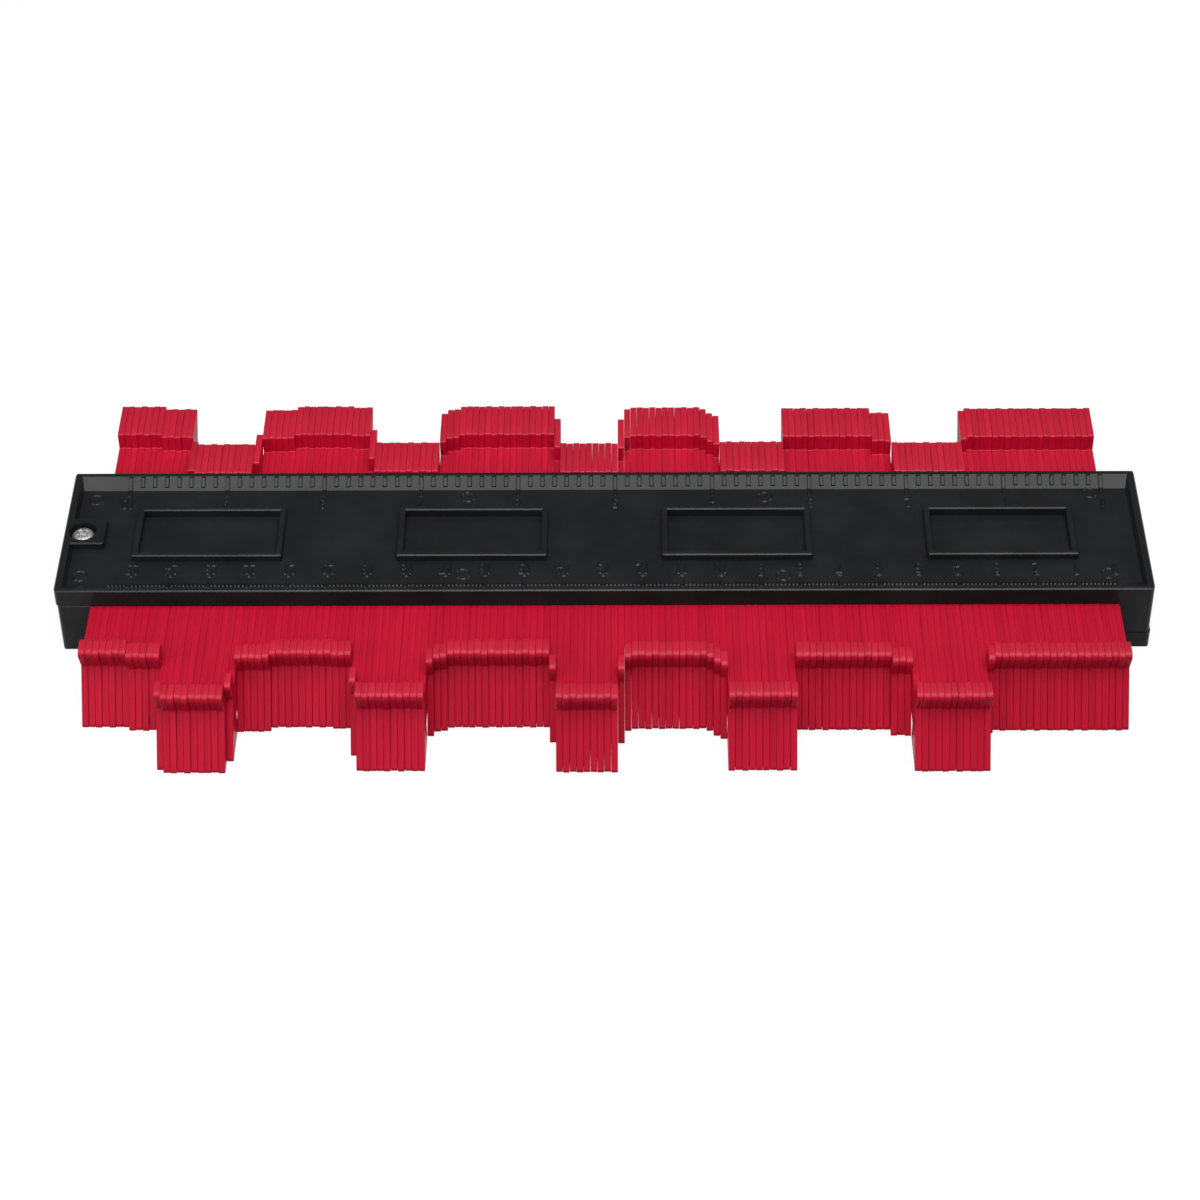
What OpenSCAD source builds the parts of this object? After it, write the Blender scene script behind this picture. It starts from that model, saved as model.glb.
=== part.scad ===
// Contour gauge: a stack of thin sliding leaves held between two equal moulded halves.
// X runs along the stack, Y from front to rear, Z up from the surface that the gauge lies on.
// The origin is under the middle of the body.

/* [Body] */
// Depth of the body from front to rear
body_d = 46.9; // [40:0.1:56]
// Height of the body, both halves closed
body_h = 20; // [18:0.5:26]
// Height of one half at its front and rear edges
half_h = 5; // [4:0.25:7]
// Depth of the recess inside the rim of each half
recess_h = 2; // [1.5:0.1:2.4]
// Run of the sloping walls at the front and rear of the recess
slope_run = 3.55; // [1:0.05:4]
// Run of the steep walls at the two ends of the recess
side_run = 0.7; // [0.2:0.1:1.6]
// Flat width of the front rim
rim_front = 1.3; // [1:0.05:3]
// Flat width of the rear rim
rim_rear = 1.5; // [1:0.05:3]
// Width of the rims at the two ends
rim_side = 1.9; // [1:0.1:3]
// Cut along the edges of the rims, frames, pads and blocks
edge_cut = 0.3; // [0.1:0.05:0.4]
// Radius of the body's upright corners
corner_r = 1.4; // [0.5:0.1:2]
// Radius of the upright corners of frames and pads
frame_r = 0.5; // [0.4:0.1:0.8]
// Length of the block that closes the slot at one end of each half
end_block = 8.75; // [8:0.05:12]
// Step from the screwed end of one half back to the end of the half that it sits on
block_inset = 0.35; // [0.1:0.05:0.8]

/* [Window frames] */
// Outer width of a raised frame
window_w = 38.4; // [24:0.2:56]
// Outer depth of a raised frame
window_d = 19.6; // [12:0.2:22]
// Wall of a raised frame
window_wall = 1.6; // [1:0.1:4]
// How far the floor inside a frame lies below the floor of the recess
window_sink = 0.4; // [0.1:0.1:0.8]
// Distance from one frame to the next
window_pitch = 67.8; // [58:0.2:70]

/* [Leaves] */
// Distance from one leaf to the next
leaf_pitch = 1.69; // [1.6:0.01:2]
// Air between neighbouring leaves
leaf_gap = 0.07; // [0.05:0.01:0.2]
// Length of the shank between the two heads
shank_len = 80.7; // [72:0.1:100]
// Length of a head from its inner wall to its tip
head_len = 12.15; // [9:0.05:18]
// Length of the short lip on the other side of a head
lip_len = 4.9; // [3.5:0.1:7]
// Length of a head at the foot of its undercut
foot_len = 3.1; // [2:0.1:3.4]
// Height of the undercut between lip and foot
foot_drop = 6.3; // [4:0.1:9]
// Height of the blunt end of a tip
tip_h = 0.8; // [0.4:0.1:2]
// How far the heads stay short of the body's top and base
head_recess = 0.5; // [0.2:0.1:1]
// Most that a leaf stands off its neighbours at rest
leaf_settle = 0.15; // [0:0.05:0.3]

/* [Fits] */
// Air over and under the shanks in the slot
slide_clear = 0.2; // [0.1:0.05:0.4]
// Air at each end of the stack
stack_play = 0.15; // [0.1:0.05:1]
// Air around a screw in its holes
screw_clear = 0.15; // [0.05:0.05:0.3]

/* [Screws] */
// Distance from the body's end to the screw's axis
screw_inset = 4.65; // [4.2:0.05:5]
// Diameter of the screw's thread
screw_d = 3; // [2:0.1:3.6]
// Length of the screw under its head
screw_len = 12; // [7:0.5:13]
// Diameter of the screw's head
screw_head_d = 5.8; // [4.5:0.1:6]
// Height of the screw's head
screw_head_h = 2.1; // [1.2:0.1:2.4]
// Width of the cross recess
cross_w = 0.8; // [0.5:0.1:1.2]
// Length of the cross recess
cross_len = 3.2; // [2:0.1:4]
// Depth of the cross recess
cross_h = 1.1; // [0.5:0.1:1.2]
// Diameter of the pocket around the head
pocket_d = 7; // [6.4:0.1:7.6]
// Plastic left under the head
seat_h = 2.2; // [1:0.1:2.4]
// Length of the raised pad around the pocket
pad_len = 10.5; // [9.4:0.1:14]
// Depth of the raised pad from front to rear
pad_d = 9.7; // [8.5:0.1:14]

/* [Hidden] */
$fn = 52;
// Depth by which cutting solids run past a face
over = 1;
// Room left under the screw's point
point_room = 0.8;

// The profile that the leaves hold at rest: how many leaves stand together, and how far they are moved
// from the middle of their travel as a share of the way to the stop, less than nothing towards the front
SETTINGS = [
    [7, -0.01], [5, -0.08], [1, -0.91], [9, -0.97], [1, -0.74], [5, -0.11], [9, -0.02], [3, -0.05],
    [1, -0.61], [10, -0.94], [1, -0.22], [2, -0.11], [15, -0.03], [1, -0.35], [9, -0.97], [1, -0.38],
    [1, -0.11], [11, -0.07], [1, -0.11], [1, -0.22], [1, -0.29], [10, -0.94], [14, -0.1],
    [3, -0.22], [11, -0.97], [1, -0.17], [20, -0.12]
];
// Most leaves that slide as one bank
BANK_SIZE = 4;
// Turn between leaves that scatters their small offsets
SETTLE_TURN = 151;
WINDOW_COUNT = 4;

function leaves_before(row) = row == 0 ? 0 : SETTINGS[row - 1][0] + leaves_before(row - 1);
function banks_in(row) = ceil(SETTINGS[row][0] / BANK_SIZE);
function share(row, part) = floor(SETTINGS[row][0] * part / banks_in(row));

// How far a leaf slides either way from the middle before a head meets the body
leaf_travel = (shank_len - body_d) / 2;
// Each bank as its first leaf, its number of leaves and its offset
BANKS = [
    for (row = [0 : len(SETTINGS) - 1], part = [0 : banks_in(row) - 1]) [
        leaves_before(row) + share(row, part),
        share(row, part + 1) - share(row, part),
        SETTINGS[row][1] * leaf_travel
    ]
];
function bank_name(bank) = str("leaf_bank_", bank < 9 ? "0" : "", bank + 1);

leaf_count = leaves_before(len(SETTINGS));
leaf_t = leaf_pitch - leaf_gap;
stack_len = leaf_count * leaf_pitch;
slot_len = stack_len + 2 * stack_play;
body_w = slot_len + 2 * end_block;
slot_h = body_h - 2 * half_h;
shank_h = slot_h - 2 * slide_clear;
head_h = body_h - 2 * head_recess;
recess_z = body_h - recess_h;
half_w = body_w - block_inset;
half_x = -block_inset / 2;
screw_x = body_w / 2 - screw_inset;
screw_hole_d = screw_d + 2 * screw_clear;
screw_depth = screw_len - seat_h + point_room;
seat_z = body_h - half_h + seat_h;

// Rectangle with round corners, centred on the origin
module round_rectangle(w, d, r) {
    square([w - 2 * r, d], center = true);
    square([w, d - 2 * r], center = true);
    for (x = [-1, 1], y = [-1, 1])
        translate([x * (w / 2 - r), y * (d / 2 - r)])
            circle(r);
}

// An outline drawn out along X, with its own X turned to Y and its own Y turned up
module along_x(length) {
    translate([-length / 2, 0, 0])
        rotate([90, 0, 90])
            linear_extrude(length)
                children();
}

// An outline drawn out along Y, with its own Y turned up
module along_y(length) {
    translate([0, length / 2, 0])
        rotate([90, 0, 0])
            linear_extrude(length)
                children();
}

// Outline of a roof that cuts the upper edges off what stands under it
module roof_section(w, h) {
    eaves = w / 2 + over;
    polygon([
        [-eaves, 0], [eaves, 0], [eaves, h - edge_cut - over],
        [w / 2 - edge_cut, h], [edge_cut - w / 2, h], [-eaves, h - edge_cut - over]
    ]);
}

// Outline of an upright pocket that flares by the cut at its upper edges
module pocket_section(w, h) {
    flare = edge_cut + over;
    polygon([
        [-w / 2, 0], [w / 2, 0], [w / 2, h - edge_cut],
        [w / 2 + flare, h + over], [-w / 2 - flare, h + over], [-w / 2, h - edge_cut]
    ]);
}

// Outline of a tray whose walls lean out by a run over its height
module tray_section(from, to, h, run) {
    reach = run * (h + over) / h;
    polygon([[from, 0], [to, 0], [to + reach, h + over], [from - reach, h + over]]);
}

// Slab with round corners that stands on the origin, with its upper edges cut off
module edged_slab(w, d, h, r) {
    intersection() {
        linear_extrude(h + over)
            round_rectangle(w, d, r);
        along_x(w + 2 * over)
            roof_section(d, h);
        along_y(d + 2 * over)
            roof_section(w, h);
    }
}

// The plate that covers the stack, full height, with no recess yet. It ends short of the other half at
// its block
module half_plate() {
    translate([half_x, 0, body_h - half_h])
        edged_slab(half_w, body_d, half_h, corner_r);
}

// The block at the right that closes the slot and stands on the other half with its edges cut off
module half_block() {
    height = slot_h + over;
    intersection() {
        translate([half_x, 0, half_h + height])
            rotate([180, 0, 0])
                edged_slab(half_w, body_d, height, corner_r);
        translate([slot_len / 2, -body_d, 0])
            cube([end_block, 2 * body_d, body_h]);
    }
}

// The tray cut into the plate, with long slopes at front and rear and steep walls at its ends
module half_recess() {
    front = rim_front + slope_run - body_d / 2;
    rear = body_d / 2 - rim_rear - slope_run;
    left = rim_side + side_run - body_w / 2;
    right = half_x + half_w / 2 - rim_side - side_run;
    translate([0, 0, recess_z])
        intersection() {
            along_x(body_w)
                tray_section(front, rear, recess_h, slope_run);
            along_y(body_d)
                tray_section(left, right, recess_h, side_run);
        }
}

// One raised rectangular frame, flush with the rim
module window_frame() {
    translate([0, 0, recess_z - over])
        edged_slab(window_w, window_d, recess_h + over, frame_r);
}

// The sunk field inside a frame
module window_field() {
    depth = recess_h + window_sink;
    translate([0, 0, body_h - depth])
        intersection() {
            along_x(2 * window_w)
                pocket_section(window_d - 2 * window_wall, depth);
            along_y(2 * window_d)
                pocket_section(window_w - 2 * window_wall, depth);
        }
}

// A feature repeated at the place of each frame
module at_windows() {
    for (place = [0 : WINDOW_COUNT - 1])
        translate([(place - (WINDOW_COUNT - 1) / 2) * window_pitch, 0, 0])
            children();
}

// The pad at the left that the screw's head sinks into, flush with the rim
module screw_pad() {
    length = pad_len - rim_side / 2;
    translate([(pad_len + rim_side / 2 - body_w) / 2, 0, recess_z - over])
        edged_slab(length, pad_d, recess_h + over, frame_r);
}

// Pocket and through hole for the screw at the left
module screw_seat() {
    translate([-screw_x, 0, 0]) {
        translate([0, 0, seat_z])
            cylinder(d = pocket_d, h = body_h);
        translate([0, 0, seat_z - seat_h - over])
            cylinder(d = screw_hole_d, h = seat_h + 2 * over);
    }
}

// Blind hole in the block at the right that takes the other half's screw
module screw_socket() {
    translate([screw_x, 0, half_h - over])
        cylinder(d = screw_hole_d, h = screw_depth + over);
}

module frame_half() {
    difference() {
        union() {
            difference() {
                half_plate();
                half_recess();
            }
            half_block();
            at_windows()
                window_frame();
            screw_pad();
        }
        at_windows()
            window_field();
        screw_seat();
        screw_socket();
    }
}

// A turn about the Y line through the middle of the body, which swaps the halves
module turned_over() {
    translate([0, 0, body_h])
        rotate([0, 180, 0])
            children();
}

module upper_frame() {
    color([0.13, 0.13, 0.13])
        frame_half();
}

module lower_frame() {
    color([0.13, 0.13, 0.13])
        turned_over()
            frame_half();
}

// Pan head screw with a cross recess, in the upper half's seat
module frame_screw() {
    translate([-screw_x, 0, seat_z])
        difference() {
            union() {
                cylinder(d = screw_head_d, h = screw_head_h);
                translate([0, 0, -screw_len])
                    cylinder(d = screw_d, h = screw_len);
            }
            for (turn = [0, 90])
                rotate(turn)
                    translate([-cross_len / 2, -cross_w / 2, screw_head_h - cross_h])
                        cube([cross_len, cross_w, cross_h + over]);
        }
}

module left_screw() {
    color([0.75, 0.75, 0.76])
        frame_screw();
}

module right_screw() {
    color([0.75, 0.75, 0.76])
        turned_over()
            frame_screw();
}

// Half of a leaf's outline, from the top of the shank around the front head to the base of the shank
HEAD_OUTLINE = [
    [-shank_len / 2, shank_h / 2],
    [-shank_len / 2, head_h / 2],
    [-shank_len / 2 - lip_len, head_h / 2],
    [-shank_len / 2 - foot_len, head_h / 2 - foot_drop],
    [-shank_len / 2 - head_len, tip_h - head_h / 2],
    [-shank_len / 2 - head_len, -head_h / 2],
    [-shank_len / 2, -head_h / 2],
    [-shank_len / 2, -shank_h / 2]
];

// One leaf in the middle of its travel: the rear head is the front head turned half round
module leaf() {
    rotate([90, 0, 90])
        linear_extrude(leaf_t)
            polygon(concat(HEAD_OUTLINE, -HEAD_OUTLINE));
}

// Leaves that slide together, each with its own small offset
module leaf_bank(bank) {
    first = BANKS[bank][0];
    last = first + BANKS[bank][1] - 1;
    color([0.72, 0.07, 0.16])
        for (place = [first : last])
            translate([
                place * leaf_pitch - stack_len / 2 + leaf_gap / 2,
                BANKS[bank][2] + leaf_settle * sin(place * SETTLE_TURN),
                body_h / 2
            ])
                leaf();
}

upper_frame();
lower_frame();
left_screw();
right_screw();
for (bank = [0 : len(BANKS) - 1])
    leaf_bank(bank);
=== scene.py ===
"""Contour gauge: two moulded black halves with raised scales around a stack of red sliding leaves.

Sizes are in millimetres in the gauge's own frame and are turned into metres where meshes are made.
X runs along the stack, Y from front to rear and Z up from the surface that the gauge lies on.
"""

import math
import random

import bmesh
import bpy
from mathutils import Matrix, Vector


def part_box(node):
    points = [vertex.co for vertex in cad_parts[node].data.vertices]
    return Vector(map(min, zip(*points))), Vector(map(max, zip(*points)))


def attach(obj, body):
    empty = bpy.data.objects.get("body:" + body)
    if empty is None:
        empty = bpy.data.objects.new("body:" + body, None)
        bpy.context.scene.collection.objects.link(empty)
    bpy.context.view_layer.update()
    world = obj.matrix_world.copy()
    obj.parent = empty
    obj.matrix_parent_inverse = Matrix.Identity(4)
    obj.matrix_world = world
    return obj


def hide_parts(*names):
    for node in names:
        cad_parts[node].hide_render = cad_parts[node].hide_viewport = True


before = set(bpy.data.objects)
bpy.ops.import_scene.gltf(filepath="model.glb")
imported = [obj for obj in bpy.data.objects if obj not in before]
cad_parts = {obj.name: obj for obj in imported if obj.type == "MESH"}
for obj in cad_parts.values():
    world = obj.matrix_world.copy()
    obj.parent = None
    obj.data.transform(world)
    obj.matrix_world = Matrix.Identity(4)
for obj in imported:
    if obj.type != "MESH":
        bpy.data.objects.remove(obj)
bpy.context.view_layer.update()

MM = 0.001
INCH = 25.4

# Body: the places of the rim and the recess, worked out from the upper half's box
UPPER_LOW, UPPER_HIGH = (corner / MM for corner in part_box("upper_frame"))
BODY_TOP = UPPER_HIGH.z
BODY_FRONT = UPPER_LOW.y
BODY_REAR = UPPER_HIGH.y
RECESS_H = 2.0
SLOPE_RUN = 3.55
RIM_FRONT = 1.3
RIM_REAR = 1.5
RECESS_Z = BODY_TOP - RECESS_H
FRONT_SLOPE = BODY_FRONT + RIM_FRONT
REAR_SLOPE = BODY_REAR - RIM_REAR
HALF_TURN = Matrix.Translation((0, 0, BODY_TOP * MM)) @ Matrix.Rotation(math.pi, 4, "Y")

# Leaves: the outline of a head as (y, z, corner radius), from the shank's top round to its base
LEAF_PITCH = 1.69
LEAF_GAP = 0.07
LEAF_LENGTH = 105.0
LEAF_SETTLE = 0.15
SETTLE_TURN = 151
SHANK_TOP = 4.8
HEAD_TOP = 9.5
HEAD_WALL = 40.35
LIP_LEN = 6.0
FOOT_LEN = 3.1
FOOT_DROP = 6.3
TIP_H = 0.8
HEAD_OUTLINE = (
    (-HEAD_WALL, SHANK_TOP, 0.35),
    (-HEAD_WALL, HEAD_TOP, 0.55),
    (-HEAD_WALL - LIP_LEN, HEAD_TOP, 1.3),
    (-HEAD_WALL - FOOT_LEN, HEAD_TOP - FOOT_DROP, 0.5),
    (-LEAF_LENGTH / 2, -HEAD_TOP + TIP_H, 0.35),
    (-LEAF_LENGTH / 2, -HEAD_TOP, 0.25),
    (-HEAD_WALL, -HEAD_TOP, 0.55),
    (-HEAD_WALL, -SHANK_TOP, 0.35),
)
ARC_STEPS = 4
SHANK_EDGE = 0.055
HEAD_EDGE = 0.11
LEAF_DRAFT = 0.03
TIP_TAPER = 0.02
TAPER_START = HEAD_WALL + FOOT_LEN
CLOSE_GAP = 0.022
TIGHTEST_GAP = 0.004
# Tone of the leaves: each leaf's tone is partly its own colour and partly painted shade for leaves tilted
# a little, and a painted step of light and shade makes each leaf paler on its right and darker on its left
TONE_MEAN = 0.5
TONE_AND_SHADE_SPREAD = 0.15
SIDE_SHADE_STEP = 0.14
LEAF_SEED = 11

# Scales: zero is at the right, because the numerals are read from the rear.
# A rib or tail is given by its width at the base and at the top, its height and its length,
# a stud by its radius at the base and at the top and its height, a numeral by its place and height
SCALE_ZERO = 129.7
INCH_MARKS = 10
INCH_PARTS = 8
CM_MARKS = 25
MM_PARTS = 10
MM_MARKS = 255
RIB_SINK = 0.2
PART_RIB = (1.14, 0.78, 0.33, 3.2)
INCH_RIB = (1.14, 0.78, 0.33, 4.2)
INCH_TAIL = (1.1, 0.66, 0.3, 2.9)
MM_RIB = (0.5, 0.28, 0.4, 2.4)
MM_START = 1.1
MM_LEAD = 0.12
CM_RIB = (0.95, 0.5, 0.36, 4.2)
CM_TAIL = (0.9, 0.5, 0.16, 2.7)
CM_STUD = (0.8, 0.24, 0.56)
STUD_REACH = 3.2
STUD_SIDES = 8
FLAT_ANGLE = 12
SOFT_ANGLE = 40
NUMERAL_WIDTH = 0.64
NUMERAL_BEVEL = 0.055
NUMERAL_BASE = 0.012
NUMERAL_STEPS = 4
NUMERAL_WELD = 0.0005
INCH_NUMERAL = (12.9, 3.9)
CM_NUMERAL = (-12.9, 4.1)
MARK_RADIUS = 1.8
MARK_RIDGE = 0.26
MARK_STEPS = 48
MARK_PLACES = (
    (-132.8, 14.7), (-133.5, -15.4), (-35.7, 15.5), (-36.0, -15.0),
    (41.7, 15.2), (45.4, -15.7), (126.6, 16.5), (128.0, -15.3),
)

# Screw: the tip, the thread, the domed head and its cross recess
SCREW_LOW, SCREW_HIGH = (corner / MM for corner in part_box("left_screw"))
SCREW_X = (SCREW_LOW.x + SCREW_HIGH.x) / 2
SCREW_HEAD_R = (SCREW_HIGH.x - SCREW_LOW.x) / 2
SCREW_HEAD_H = 2.1
SCREW_SEAT = SCREW_HIGH.z - SCREW_HEAD_H
SCREW_RIM_CUT = 0.15
SCREW_R = 1.5
SCREW_TIP_R = 0.35
SCREW_TIP_H = 1.2
SCREW_TIP_LIFT = 0.02
SCREW_SEGMENTS = 128
DOME_SHARE = 0.55
DOME_BASE = SCREW_HIGH.z - SCREW_HEAD_H * DOME_SHARE
DOME_POWER = 4
DOME_RINGS = 40
THREAD_PITCH = 1.0
THREAD_DEPTH = 0.25
CROSS_ARM = 1.65
CROSS_HALF = 0.42
CROSS_DEPTH = 1.0
CROSS_SLOPE = 0.18
CROSS_FLAT = 0.55
CROSS_TURN = math.radians(38)

# Camera: place, turn (pitch down, yaw, roll) and focal length for a 36 mm sensor and a square picture
CAMERA_PLACE = (4.8, -626.15, 554.6)
CAMERA_TURN = (41.749, -0.561, -0.519)
CAMERA_LENS = 96.018
SENSOR = 36
CLIP_START = 0.01

# Finish of the body: linear colours, noise in features per metre, and bump as strength and depth.
# A gloss goes with the slant of a face, which is 0 on an upright wall and 1 on a level face
BODY_COLOUR = (0.0119, 0.0122, 0.0132, 1)
BODY_PALE = (0.0184, 0.0189, 0.0203, 1)
BODY_SMUDGE = 85
BODY_GRAIN = 4200
BODY_ROUGHNESS = (0.27, 0.2)
BODY_BUMP = (0.35, 0.02)
BODY_GLOSS = (0.02, 0.27)
BODY_SLANT = (0.3, 0.6)
END_GLOSS = 0.13
END_START = 116
END_REACH = 20

# Finish of the leaves
LEAF_DARK = (0.42, 0.0026, 0.022, 1)
LEAF_PALE = (0.63, 0.005, 0.037, 1)
# Paler, greyer colours on the flat tops and bases of the heads: painted sheen and light, which leaves the
# shanks darker as if in shade. The edge gives where this starts and where it is full, below the head's top
HEAD_SHEEN_DARK = (0.41, 0.0085, 0.028, 1)
HEAD_SHEEN_PALE = (0.66, 0.0135, 0.044, 1)
HEAD_SHEEN_EDGE = (0.3, 0.06)
LEAF_FLOW = 2200
LEAF_STRETCH = (1, 0.02, 0.02)
LEAF_STREAK = (-0.2, 0.2)
LEAF_GRAIN = 2600
LEAF_ROUGHNESS = (0.38, 0.5)
LEAF_BUMP = (0.2, 0.02)
LEAF_GLOSS = (0.165, 0.36)
LEAF_SLANT = (0.56, 0.74)

# Finish of the screws
STEEL_COLOUR = (0.9, 0.9, 0.89, 1)
STEEL_DULL = (0.4, 0.4, 0.4, 1)
STEEL_SPECKLE = 2400
STEEL_ROUGHNESS = (0.66, 0.4)
STEEL_BUMP = (0.8, 0.08)

# Noise: the detail of marks and of grain, and the span of values that most of a noise falls in
MARK_DETAIL = 4
GRAIN_DETAIL = 2
NOISE_SPAN = (0.3, 0.7)
UNIT = (0, 1)

# Floor: linear colours, and half of its width in metres
FLOOR_COLOUR = (0.15, 0.15, 0.15, 1)
FLOOR_ROUGHNESS = 0.9
FLOOR_LIFT = 0.88
FLOOR_HALF = 4.0
WHITE = (1, 1, 1, 1)

# Lights: name, azimuth and elevation in degrees, distance, width and height in metres, and power in watts
SOFTBOXES = (
    ("left_softbox", -62, 24, 0.6, 0.3, 0.3, 0.8),
    ("side_softbox", -28, 30, 1.3, 0.5, 0.4, 1.0),
    ("front_softbox", 8, 48.5, 1.2, 0.9, 0.23, 3.5),
    ("right_softbox", 95, 27, 1.2, 0.5, 0.4, 1.4),
    ("top_softbox", 27, 81, 1.2, 1.2, 0.8, 10.8),
)
SURROUND = 0.1


def new_object(name, mesh):
    """Object for a mesh, linked to the scene."""
    piece = bpy.data.objects.new(name, mesh)
    bpy.context.scene.collection.objects.link(piece)
    return piece


def mesh_from(name, bm, smooth_angle):
    """Mesh of a bmesh in millimetres, with edges kept sharp above the angle."""
    bmesh.ops.recalc_face_normals(bm, faces=bm.faces[:])
    bmesh.ops.scale(bm, vec=(MM, MM, MM), verts=bm.verts[:])
    mesh = bpy.data.meshes.new(name)
    bm.to_mesh(mesh)
    bm.free()
    mesh.shade_smooth()
    mesh.set_sharp_from_angle(angle=math.radians(smooth_angle))
    return mesh


def loft(bm, rings):
    """Closed skin over a list of rings of equal length, with both ends filled."""
    loops = [[bm.verts.new(point) for point in ring] for ring in rings]
    for lower, upper in zip(loops, loops[1:]):
        for index in range(len(lower)):
            bm.faces.new((lower[index - 1], lower[index], upper[index], upper[index - 1]))
    bm.faces.new(loops[0])
    bm.faces.new(loops[-1])
    return [vert for loop in loops for vert in loop]


def node_tree(name):
    """New material with its node tree and its surface shader."""
    material = bpy.data.materials.new(name)
    material.use_nodes = True
    return material, material.node_tree, material.node_tree.nodes["Principled BSDF"]


def add_node(tree, kind, **values):
    """Shader node with its attributes and inputs set by name."""
    node = tree.nodes.new(kind)
    for key, value in values.items():
        if key in node.inputs:
            node.inputs[key].default_value = value
        else:
            setattr(node, key, value)
    return node


def feed(tree, socket, value):
    """Input set to a value, or linked to the output of another node."""
    if isinstance(value, bpy.types.NodeSocket):
        tree.links.new(value, socket)
    else:
        socket.default_value = value


def combine(tree, operation, *values):
    """Result of an arithmetic operation on numbers and outputs of other nodes."""
    node = add_node(tree, "ShaderNodeMath", operation=operation)
    for socket, value in zip(node.inputs, values):
        feed(tree, socket, value)
    return node.outputs["Value"]


def noise_at(tree, place, scale, detail, stretch=(1, 1, 1)):
    """Noise over the piece's own space, with the scale in features per metre."""
    mapping = add_node(tree, "ShaderNodeMapping", Scale=stretch)
    feed(tree, mapping.inputs["Vector"], place.outputs["Object"])
    noise = add_node(tree, "ShaderNodeTexNoise", Scale=scale, Detail=detail)
    feed(tree, noise.inputs["Vector"], mapping.outputs["Vector"])
    return noise.outputs["Fac"]


def spread(tree, value, target, source=NOISE_SPAN):
    """Value mapped from one span onto another."""
    ramp = add_node(tree, "ShaderNodeMapRange")
    for name, level in zip(("From Min", "From Max", "To Min", "To Max"), (*source, *target)):
        ramp.inputs[name].default_value = level
    feed(tree, ramp.inputs["Value"], value)
    return ramp.outputs["Result"]


def blend_colour(tree, factor, first, second):
    """Colour between two colours, each a value or the output of another node."""
    mix = add_node(tree, "ShaderNodeMix", data_type="RGBA")
    feed(tree, mix.inputs[0], factor)
    feed(tree, mix.inputs[6], first)
    feed(tree, mix.inputs[7], second)
    return mix.outputs[2]


def add_bump(tree, shader, height, strength, distance):
    """Bump from a height value, with its distance in millimetres."""
    bump = add_node(tree, "ShaderNodeBump", Strength=strength, Distance=distance * MM)
    feed(tree, bump.inputs["Height"], height)
    feed(tree, shader.inputs["Normal"], bump.outputs["Normal"])


def size_along(tree, vector, axis):
    """Size of a vector along one axis, whichever way it points."""
    axes = add_node(tree, "ShaderNodeSeparateXYZ")
    feed(tree, axes.inputs["Vector"], vector)
    return combine(tree, "ABSOLUTE", axes.outputs[axis])


def upward_share(tree):
    """How far a face looks up or down, from 0 on an upright wall to 1 on a level face."""
    geometry = add_node(tree, "ShaderNodeNewGeometry")
    return size_along(tree, geometry.outputs["True Normal"], "Z")


def end_gloss(tree, place):
    """Gloss that sets in beyond the stack of leaves and is full on the end blocks."""
    reach = size_along(tree, place.outputs["Object"], "X")
    return spread(tree, reach, (0, END_GLOSS), (END_START * MM, (END_START + END_REACH) * MM))


def body_plastic():
    """Semi-matt black moulding with a fine grain and faint marks, dullest on the walls over the leaves."""
    material, tree, shader = node_tree("body_plastic")
    place = add_node(tree, "ShaderNodeTexCoord")
    smudge = noise_at(tree, place, BODY_SMUDGE, MARK_DETAIL)
    grain = noise_at(tree, place, BODY_GRAIN, GRAIN_DETAIL)
    colour = blend_colour(tree, spread(tree, smudge, UNIT), BODY_COLOUR, BODY_PALE)
    level_gloss = spread(tree, upward_share(tree), BODY_GLOSS, BODY_SLANT)
    gloss = combine(tree, "MAXIMUM", level_gloss, end_gloss(tree, place))
    feed(tree, shader.inputs["Base Color"], colour)
    feed(tree, shader.inputs["Roughness"], spread(tree, smudge, BODY_ROUGHNESS))
    feed(tree, shader.inputs["Specular IOR Level"], gloss)
    add_bump(tree, shader, grain, *BODY_BUMP)
    return material


def scuff_share(tree, place):
    """How far a place on a leaf lies on the top or base of a head, where painted sheen and light are laid,
    from 0 to 1.
    """
    middle = add_node(tree, "ShaderNodeMapping", Location=(0, 0, -BODY_TOP / 2 * MM))
    feed(tree, middle.inputs["Vector"], place.outputs["Object"])
    height = size_along(tree, middle.outputs["Vector"], "Z")
    return spread(tree, height, UNIT, [(HEAD_TOP - edge) * MM for edge in HEAD_SHEEN_EDGE])


def leaf_plastic():
    """Satin red moulding, each leaf in its own tone with painted light and shade across it, with flow
    lines, painted sheen and light on the heads and dull walls.
    """
    material, tree, shader = node_tree("leaf_plastic")
    place = add_node(tree, "ShaderNodeTexCoord")
    leaf_tone_and_shade = add_node(tree, "ShaderNodeAttribute", attribute_name="leaf_tone_and_shade")
    flow = noise_at(tree, place, LEAF_FLOW, MARK_DETAIL, LEAF_STRETCH)
    grain = noise_at(tree, place, LEAF_GRAIN, GRAIN_DETAIL)
    tone = combine(tree, "ADD", leaf_tone_and_shade.outputs["Fac"], spread(tree, flow, LEAF_STREAK))
    without_sheen = blend_colour(tree, tone, LEAF_DARK, LEAF_PALE)
    head_sheen = blend_colour(tree, tone, HEAD_SHEEN_DARK, HEAD_SHEEN_PALE)
    # Painted sheen and light on the flat tops and bases of the heads
    colour = blend_colour(tree, scuff_share(tree, place), without_sheen, head_sheen)
    gloss = spread(tree, upward_share(tree), LEAF_GLOSS, LEAF_SLANT)
    feed(tree, shader.inputs["Base Color"], colour)
    feed(tree, shader.inputs["Roughness"], spread(tree, flow, LEAF_ROUGHNESS))
    feed(tree, shader.inputs["Specular IOR Level"], gloss)
    add_bump(tree, shader, grain, *LEAF_BUMP)
    return material


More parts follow.
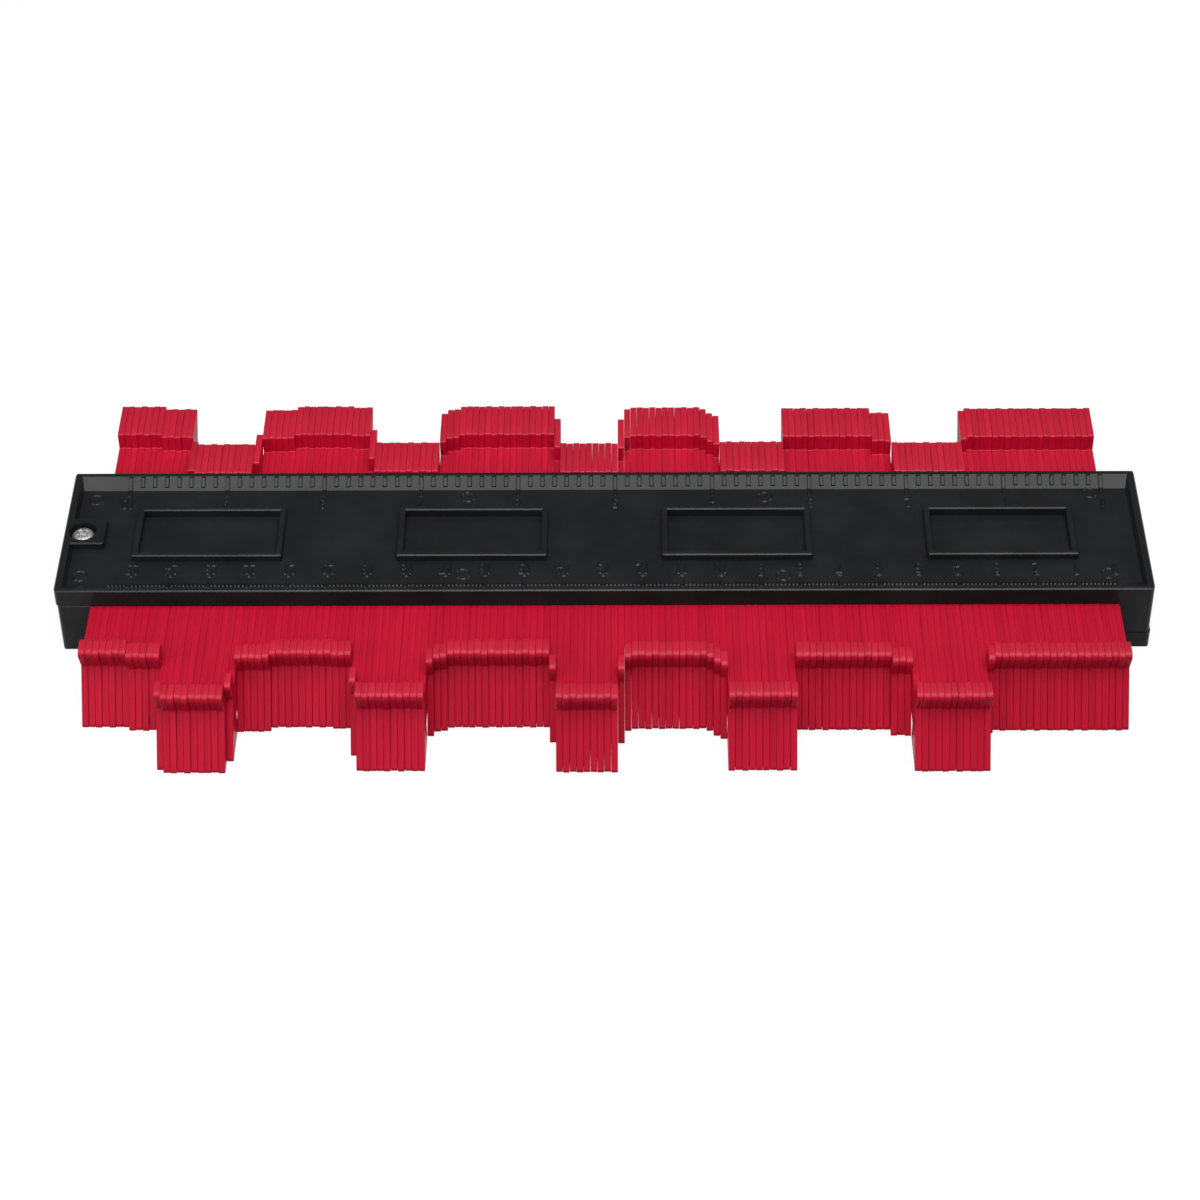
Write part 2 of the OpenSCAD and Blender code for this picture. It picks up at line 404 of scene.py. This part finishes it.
def screw_steel():
    """Zinc plated steel with a speckled, slightly worn skin."""
    material, tree, shader = node_tree("screw_steel")
    place = add_node(tree, "ShaderNodeTexCoord")
    speckle = noise_at(tree, place, STEEL_SPECKLE, MARK_DETAIL)
    colour = blend_colour(tree, spread(tree, speckle, UNIT), STEEL_DULL, STEEL_COLOUR)
    feed(tree, shader.inputs["Base Color"], colour)
    feed(tree, shader.inputs["Roughness"], spread(tree, speckle, STEEL_ROUGHNESS))
    shader.inputs["Metallic"].default_value = 1.0
    add_bump(tree, shader, speckle, *STEEL_BUMP)
    return material


def dress_body(material):
    """Body halves: the solids keep their shape and take the moulded finish."""
    for name in ("upper_frame", "lower_frame"):
        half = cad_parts[name]
        half.data.materials.clear()
        half.data.materials.append(material)


def rounded_outline(corners):
    """Points of a closed outline whose corners (y, z, radius) are turned into arcs."""
    points = []
    for index, (y, z, radius) in enumerate(corners):
        here = Vector((y, z))
        back = (Vector(corners[index - 1][:2]) - here).normalized()
        ahead = (Vector(corners[(index + 1) % len(corners)][:2]) - here).normalized()
        half = back.angle(ahead) / 2
        centre = here + (back + ahead).normalized() * radius / math.sin(half)
        start = here + back * radius / math.tan(half) - centre
        end = here + ahead * radius / math.tan(half) - centre
        first = math.atan2(start.y, start.x)
        sweep = math.remainder(math.atan2(end.y, end.x) - first, math.tau)
        for step in range(ARC_STEPS + 1):
            angle = first + sweep * step / ARC_STEPS
            points.append(centre + Vector((math.cos(angle), math.sin(angle))) * radius)
    return points


def inset(outline, amounts):
    """Outline whose points are each moved inwards by an amount."""
    moved = []
    for index, (point, amount) in enumerate(zip(outline, amounts)):
        along = (outline[(index + 1) % len(outline)] - outline[index - 1]).normalized()
        moved.append(point + Vector((-along.y, along.x)) * amount)
    return moved


def leaf_outline():
    """Outline of a whole leaf: the rear head is the front head turned half round."""
    turned = tuple((-y, -z, radius) for y, z, radius in HEAD_OUTLINE)
    return rounded_outline(HEAD_OUTLINE + turned)


def taper_share(y):
    """How far a place on a leaf lies from the foot of a head towards its tip, from 0 to 1."""
    return max(0.0, abs(y) - TAPER_START) / (LEAF_LENGTH / 2 - TAPER_START)


def add_leaf(bm, outline, place, width, draws):
    """One leaf: side faces, soft edges, a little draft and tips that thin towards their ends."""
    slant = draws.uniform(-LEAF_DRAFT, LEAF_DRAFT)
    tapers = (draws.uniform(0, TIP_TAPER), draws.uniform(0, TIP_TAPER))
    # Each leaf's tone is partly a colour of its own and partly painted shade for a leaf tilted a little
    tone = TONE_MEAN + draws.uniform(-TONE_AND_SHADE_SPREAD, TONE_AND_SHADE_SPREAD)
    shade_step = draws.uniform(-SIDE_SHADE_STEP, SIDE_SHADE_STEP)
    edges = [HEAD_EDGE if abs(point.x) > HEAD_WALL else SHANK_EDGE for point in outline]
    rings = []
    for side, taper, draft in ((-1, tapers[0], max(slant, 0)), (1, tapers[1], max(-slant, 0))):
        pair = []
        for share in (1, 0):
            ring = inset(outline, [share * edge + draft for edge in edges])
            halves = [
                width / 2 - (1 - share) * edge - taper * taper_share(point.x)
                for point, edge in zip(ring, edges)
            ]
            pair.append([
                place + Vector((side * half, point.x, point.y))
                for half, point in zip(halves, ring)
            ])
        rings += pair if side < 0 else pair[::-1]
    verts = loft(bm, rings)
    layer = bm.verts.layers.float["leaf_tone_and_shade"]
    for vert in verts:
        # Painted light and shade across the leaf: paler towards its right side and darker towards its left
        vert[layer] = tone + math.copysign(shade_step, vert.co.x - place.x)


def bank_names():
    """Names of the banks of leaves, from left to right."""
    return sorted(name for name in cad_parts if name.startswith("leaf_bank_"))


def make_leaves(material):
    """Leaves of each bank, in the bank's own place, with the air between them unevenly shared."""
    draws = random.Random(LEAF_SEED)
    outline = leaf_outline()
    width = LEAF_PITCH - CLOSE_GAP
    first = 0
    for bank in bank_names():
        low, high = (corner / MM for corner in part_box(bank))
        count = round((high.x - low.x + LEAF_GAP) / LEAF_PITCH)
        turns = [math.radians(SETTLE_TURN * (first + step)) for step in range(count)]
        settles = [LEAF_SETTLE * math.sin(turn) for turn in turns]
        middle = low.y + LEAF_LENGTH / 2 - min(settles)
        shares = [draws.expovariate(1) for _ in range(count)]
        spare = count * (CLOSE_GAP - TIGHTEST_GAP) / sum(shares)
        edge = low.x - LEAF_GAP / 2
        bm = bmesh.new()
        bm.verts.layers.float.new("leaf_tone_and_shade")
        for settle, share in zip(settles, shares):
            edge += TIGHTEST_GAP + share * spare
            place = Vector((edge + width / 2, middle + settle, BODY_TOP / 2))
            add_leaf(bm, outline, place, width, draws)
            edge += width
        mesh = mesh_from(bank.replace("leaf_bank", "leaves"), bm, SOFT_ANGLE)
        mesh.materials.append(material)
        piece = new_object(mesh.name, mesh)
        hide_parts(bank)
        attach(piece, bank)
        first += count


def add_rib(bm, start, along, normal, base, top, height, length, lead=0.0):
    """Raised bar with sloping sides and a sloping far end, whose top is never higher than the rim.

    The lead is the run of the slope at its near end, or nothing where that end is buried.
    """
    side = along.cross(normal)
    run = (base - top) / 2
    over_rim = start.z + normal.z * height - BODY_TOP
    stations = [(lead, height), (length - run, height), (length, 0.0)]
    if lead:
        stations.insert(0, (0.0, 0.0))
    if over_rim > 0:
        stations.insert(1, (over_rim / -along.z, height))
    rings = []
    for reach, rise in stations:
        half = base / 2 - run * rise / height
        right = ((half, rise), (base / 2, 0), (base / 2, -RIB_SINK))
        left = tuple((-across, up) for across, up in reversed(right))
        points = [start + along * reach + side * across + normal * up for across, up in left + right]
        for point in points:
            point.z = min(point.z, BODY_TOP)
        rings.append(points)
    loft(bm, rings)


def add_stud(bm, foot):
    """Small blunt stud with flat facets, one of them towards the front."""
    low, high, rise = CM_STUD
    turns = [math.tau * (side + 0.5) / STUD_SIDES for side in range(STUD_SIDES)]
    rings = []
    for radius, z in ((low, -RIB_SINK), (low, 0), (high, rise)):
        corners = [Vector((radius * math.cos(turn), radius * math.sin(turn), z)) for turn in turns]
        rings.append([foot + corner for corner in corners])
    loft(bm, rings)


def frame_pieces(name, mesh, material):
    """A mesh on the upper half and the same mesh turned over on the lower half."""
    mesh.materials.append(material)
    for half, turn in (("upper", Matrix.Identity(4)), ("lower", HALF_TURN)):
        piece = new_object(f"{name}_{half}", mesh)
        piece.matrix_world = turn
        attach(piece, "frame")


def make_inch_scale(material):
    """Ribs at every eighth of an inch on the rear slope, with long ones at the inches."""
    down = Vector((0, -SLOPE_RUN, -RECESS_H)).normalized()
    normal = Vector((0, -RECESS_H, SLOPE_RUN)).normalized()
    bm = bmesh.new()
    for mark in range(INCH_MARKS * INCH_PARTS + 1):
        x = SCALE_ZERO - mark * INCH / INCH_PARTS
        top = Vector((x, REAR_SLOPE, BODY_TOP))
        if mark % INCH_PARTS:
            add_rib(bm, top, down, normal, *PART_RIB)
        else:
            add_rib(bm, top, down, normal, *INCH_RIB)
            foot = Vector((x, REAR_SLOPE - SLOPE_RUN + RIB_SINK, RECESS_Z))
            add_rib(bm, foot, Vector((0, -1, 0)), Vector((0, 0, 1)), *INCH_TAIL)
    frame_pieces("inch_scale", mesh_from("inch_scale", bm, FLAT_ANGLE), material)


def make_centimetre_scale(material):
    """Ribs at every millimetre on the front slope, with long studded ones at the centimetres."""
    down = Vector((0, SLOPE_RUN, -RECESS_H)).normalized()
    normal = Vector((0, RECESS_H, SLOPE_RUN)).normalized()
    bm = bmesh.new()
    for mark in range(MM_MARKS + 1):
        x = SCALE_ZERO - mark
        top = Vector((x, FRONT_SLOPE, BODY_TOP))
        if mark % MM_PARTS:
            add_rib(bm, top + down * MM_START, down, normal, *MM_RIB, MM_LEAD)
        else:
            add_rib(bm, top, down, normal, *CM_RIB)
            foot = Vector((x, FRONT_SLOPE + SLOPE_RUN - RIB_SINK, RECESS_Z))
            add_rib(bm, foot, Vector((0, 1, 0)), Vector((0, 0, 1)), *CM_TAIL)
            add_stud(bm, foot + Vector((0, STUD_REACH, 0)))
    frame_pieces("centimetre_scale", mesh_from("centimetre_scale", bm, FLAT_ANGLE), material)


def numeral_mesh(value):
    """Raised numeral as a mesh of its own, one unit per unit of type size."""
    curve = bpy.data.curves.new("numeral", "FONT")
    curve.body = str(value)
    curve.align_x = "CENTER"
    curve.align_y = "CENTER"
    curve.extrude = NUMERAL_BASE
    curve.bevel_depth = NUMERAL_BEVEL
    curve.bevel_resolution = 0
    curve.offset = -NUMERAL_BEVEL / 2
    curve.resolution_u = NUMERAL_STEPS
    holder = bpy.data.objects.new("numeral", curve)
    bpy.context.scene.collection.objects.link(holder)
    bpy.context.view_layer.update()
    mesh = bpy.data.meshes.new_from_object(holder.evaluated_get(bpy.context.evaluated_depsgraph_get()))
    bpy.data.objects.remove(holder)
    bpy.data.curves.remove(curve)
    return mesh


def make_numerals(material):
    """Numerals of both scales, turned so that they are read from the rear."""
    rows = (
        (INCH_MARKS, INCH, *INCH_NUMERAL),
        (CM_MARKS, MM_PARTS, *CM_NUMERAL),
    )
    bm = bmesh.new()
    for last, pitch, y, height in rows:
        for value in range(last + 1):
            mesh = numeral_mesh(value)
            tall = max(vert.co.y for vert in mesh.vertices) - min(vert.co.y for vert in mesh.vertices)
            size = height / tall
            mesh.transform(
                Matrix.Translation((SCALE_ZERO - value * pitch, y, RECESS_Z))
                @ Matrix.Rotation(math.pi, 4, "Z")
                @ Matrix.Diagonal((size * NUMERAL_WIDTH, size, size, 1))
            )
            bm.from_mesh(mesh)
            bpy.data.meshes.remove(mesh)
    bmesh.ops.remove_doubles(bm, verts=bm.verts[:], dist=NUMERAL_WELD)
    frame_pieces("numerals", mesh_from("numerals", bm, FLAT_ANGLE), material)


def make_mould_marks(material):
    """Low ridged rings that the mould's push-out pins leave on the floor of the recess."""
    ridge = ((-MARK_RIDGE, 0), (0, MARK_RIDGE), (MARK_RIDGE, 0), (0, -MARK_RIDGE))
    bm = bmesh.new()
    for x, y in MARK_PLACES:
        rings = []
        for step in range(MARK_STEPS):
            angle = math.tau * step / MARK_STEPS
            out = Vector((math.cos(angle), math.sin(angle), 0))
            centre = Vector((x, y, RECESS_Z)) + out * MARK_RADIUS
            corners = [centre + out * reach + Vector((0, 0, rise)) for reach, rise in ridge]
            rings.append([bm.verts.new(corner) for corner in corners])
        for before, after in zip(rings, rings[1:] + rings[:1]):
            for index in range(len(ridge)):
                bm.faces.new((before[index - 1], before[index], after[index], after[index - 1]))
    frame_pieces("mould_marks", mesh_from("mould_marks", bm, FLAT_ANGLE), material)


def smooth_step(low, high, value):
    """Smooth change from 0 at low to 1 at high."""
    share = min(max((value - low) / (high - low), 0.0), 1.0)
    return share * share * (3 - 2 * share)


def cross_depth(x, y):
    """Depth of the cross recess under a place on the head."""
    u = x * math.cos(CROSS_TURN) + y * math.sin(CROSS_TURN)
    v = y * math.cos(CROSS_TURN) - x * math.sin(CROSS_TURN)
    deepest = 0.0
    for along, across in ((u, v), (v, u)):
        inside = 1 - smooth_step(CROSS_HALF - CROSS_SLOPE / 2, CROSS_HALF + CROSS_SLOPE / 2, abs(across))
        length = 1 - smooth_step(CROSS_ARM * CROSS_FLAT, CROSS_ARM, abs(along))
        deepest = max(deepest, inside * length)
    return deepest * CROSS_DEPTH


def screw_profile():
    """Outline of a screw as (radius, height), from its tip round to the middle of its dome."""
    root = SCREW_R - THREAD_DEPTH
    z = SCREW_LOW.z + SCREW_TIP_H
    profile = [(SCREW_TIP_R, SCREW_LOW.z + SCREW_TIP_LIFT), (root, z)]
    while z + THREAD_PITCH < SCREW_SEAT:
        profile.append((SCREW_R, z + THREAD_PITCH / 2))
        profile.append((root, z + THREAD_PITCH))
        z += THREAD_PITCH
    profile.append((root, SCREW_SEAT))
    profile.append((SCREW_HEAD_R - SCREW_RIM_CUT, SCREW_SEAT))
    profile.append((SCREW_HEAD_R, SCREW_SEAT + SCREW_RIM_CUT))
    profile.append((SCREW_HEAD_R, DOME_BASE))
    for step in range(1, DOME_RINGS):
        share = 1 - step / DOME_RINGS
        rise = SCREW_HEAD_H * DOME_SHARE * math.sqrt(1 - share ** DOME_POWER)
        profile.append((SCREW_HEAD_R * share, DOME_BASE + rise))
    return profile


def screw_mesh():
    """Pan head screw around the Z axis: threaded shank, rounded rim and a dome with a cross recess."""
    loops = []
    for radius, height in screw_profile():
        loop = []
        for step in range(SCREW_SEGMENTS):
            angle = math.tau * step / SCREW_SEGMENTS
            x, y = radius * math.cos(angle), radius * math.sin(angle)
            sink = cross_depth(x, y) if height > DOME_BASE else 0.0
            loop.append(Vector((x, y, height - sink)))
        loops.append(loop)
    bm = bmesh.new()
    loft(bm, loops)
    return mesh_from("screw", bm, SOFT_ANGLE)


def make_screws(material):
    """The two screws that close the body, one from each face."""
    mesh = screw_mesh()
    mesh.materials.append(material)
    seat = Matrix.Translation((SCREW_X * MM, 0, 0))
    for name, turn in (("left_screw", seat), ("right_screw", HALF_TURN @ seat)):
        piece = new_object(f"{name}_detail", mesh)
        piece.matrix_world = turn
        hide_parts(name)
        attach(piece, "frame")


def floor_material():
    """Pale floor that keeps the gauge's shadow and shows white where it is seen directly."""
    material, tree, shader = node_tree("floor")
    path = add_node(tree, "ShaderNodeLightPath")
    seen = path.outputs["Is Camera Ray"]
    for ray in ("Is Glossy Ray", "Is Transmission Ray"):
        seen = combine(tree, "MAXIMUM", seen, path.outputs[ray])
    shader.inputs["Base Color"].default_value = FLOOR_COLOUR
    shader.inputs["Roughness"].default_value = FLOOR_ROUGHNESS
    shader.inputs["Specular IOR Level"].default_value = 0.0
    shader.inputs["Emission Color"].default_value = WHITE
    feed(tree, shader.inputs["Emission Strength"], combine(tree, "MULTIPLY", seen, FLOOR_LIFT))
    return material


def make_floor():
    """Floor under the gauge."""
    bm = bmesh.new()
    bmesh.ops.create_grid(bm, x_segments=1, y_segments=1, size=FLOOR_HALF)
    mesh = bpy.data.meshes.new("floor")
    bm.to_mesh(mesh)
    bm.free()
    mesh.materials.append(floor_material())
    new_object("floor", mesh)


def add_softbox(name, azimuth, elevation, distance, width, height, power):
    """Soft light aimed at the gauge; the azimuth turns from the front towards the right, in degrees."""
    light = bpy.data.lights.new(name, "AREA")
    light.shape = "RECTANGLE"
    light.size = width
    light.size_y = height
    light.energy = power
    lamp = bpy.data.objects.new(name, light)
    bpy.context.scene.collection.objects.link(lamp)
    turn, rise = math.radians(azimuth), math.radians(elevation)
    out = Vector((math.sin(turn) * math.cos(rise), -math.cos(turn) * math.cos(rise), math.sin(rise)))
    lamp.location = out * distance
    lamp.rotation_euler = out.to_track_quat("Z", "Y").to_euler()


def make_lights():
    """Plain studio light: softboxes and a dim surround."""
    for softbox in SOFTBOXES:
        add_softbox(*softbox)
    world = bpy.data.worlds.new("studio")
    world.use_nodes = True
    surround = world.node_tree.nodes["Background"]
    surround.inputs["Color"].default_value = WHITE
    surround.inputs["Strength"].default_value = SURROUND
    bpy.context.scene.world = world


def make_camera():
    """Camera at the viewing angle of the photograph."""
    pitch, yaw, roll = (math.radians(angle) for angle in CAMERA_TURN)
    forward = Vector((math.sin(yaw) * math.cos(pitch), math.cos(yaw) * math.cos(pitch), -math.sin(pitch)))
    level = Vector((math.cos(yaw), -math.sin(yaw), 0))
    upright = level.cross(forward)
    right = math.cos(roll) * level + math.sin(roll) * upright
    top = math.cos(roll) * upright - math.sin(roll) * level
    lens = bpy.data.cameras.new("camera")
    lens.lens = CAMERA_LENS
    lens.sensor_width = SENSOR
    lens.sensor_fit = "HORIZONTAL"
    lens.clip_start = CLIP_START
    camera = bpy.data.objects.new("camera", lens)
    bpy.context.scene.collection.objects.link(camera)
    turn = Matrix((right, top, -forward)).transposed().to_4x4()
    camera.matrix_world = Matrix.Translation(Vector(CAMERA_PLACE) * MM) @ turn
    bpy.context.scene.camera = camera


plastic = body_plastic()
make_camera()
dress_body(plastic)
make_leaves(leaf_plastic())
make_inch_scale(plastic)
make_centimetre_scale(plastic)
make_numerals(plastic)
make_mould_marks(plastic)
make_screws(screw_steel())
make_floor()
make_lights()
bpy.context.scene.view_settings.view_transform = "Standard"
